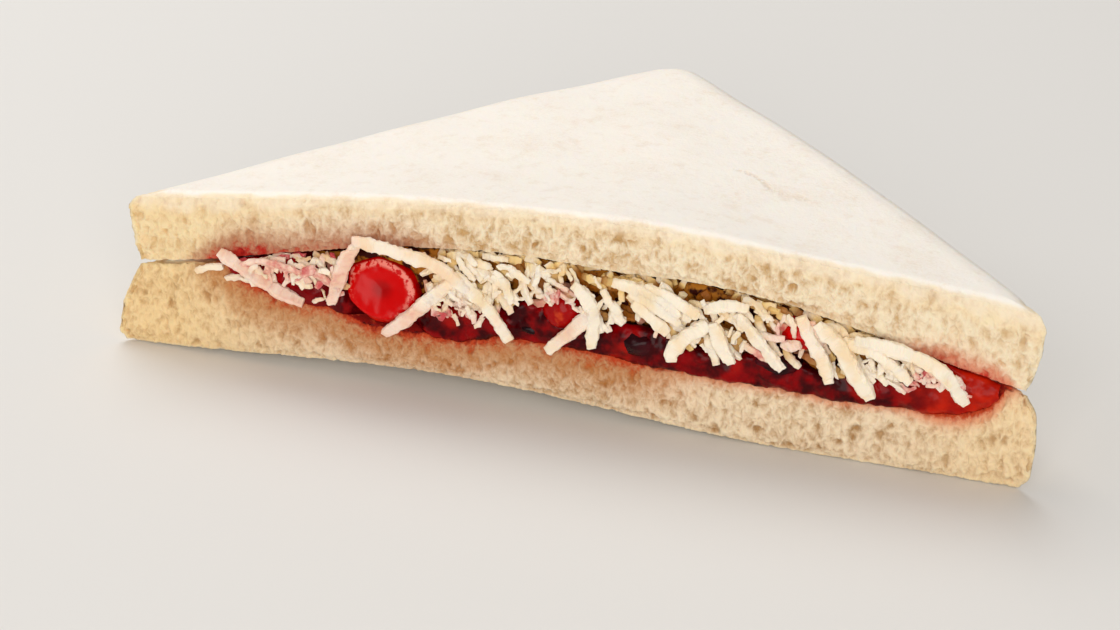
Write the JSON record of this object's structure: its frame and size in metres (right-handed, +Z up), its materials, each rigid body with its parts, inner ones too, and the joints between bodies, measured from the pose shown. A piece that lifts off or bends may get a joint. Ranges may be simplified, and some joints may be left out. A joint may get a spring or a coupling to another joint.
{
  "type": "cheese sandwich half",
  "caption": "Triangular half of a crustless white-bread sandwich, cut corner to corner and filled with grated cheese over berry jam.",
  "frame": {"origin": "on the resting plane, under the middle of the bounding box", "axes": "+X along the cut face, towards its right end as seen from the front; +Z up through the slices; the cut face looks along -Y and the square corner of the bread points to +Y"},
  "size_m": [0.1356, 0.0686, 0.0318],
  "materials": {
    "bread_crumb": "soft open crumb",
    "bread_crumb_top": "soft open crumb",
    "grated_cheese": "waxy",
    "berry_jam": "wet gloss",
    "red_berry": "wet gloss",
    "dark_berry": "wet gloss"
  },
  "bodies": {
    "root": {"bread_bottom": "bread_crumb", "bread_top": "bread_crumb_top", "cheese": "grated_cheese", "jam": "berry_jam", "berry_halved": "red_berry", "berry_middle": "red_berry", "berry_right": "red_berry", "berry_dark_left": "dark_berry", "berry_dark_middle": "dark_berry", "berry_dark_right": "dark_berry"}
  },
  "joints": []
}
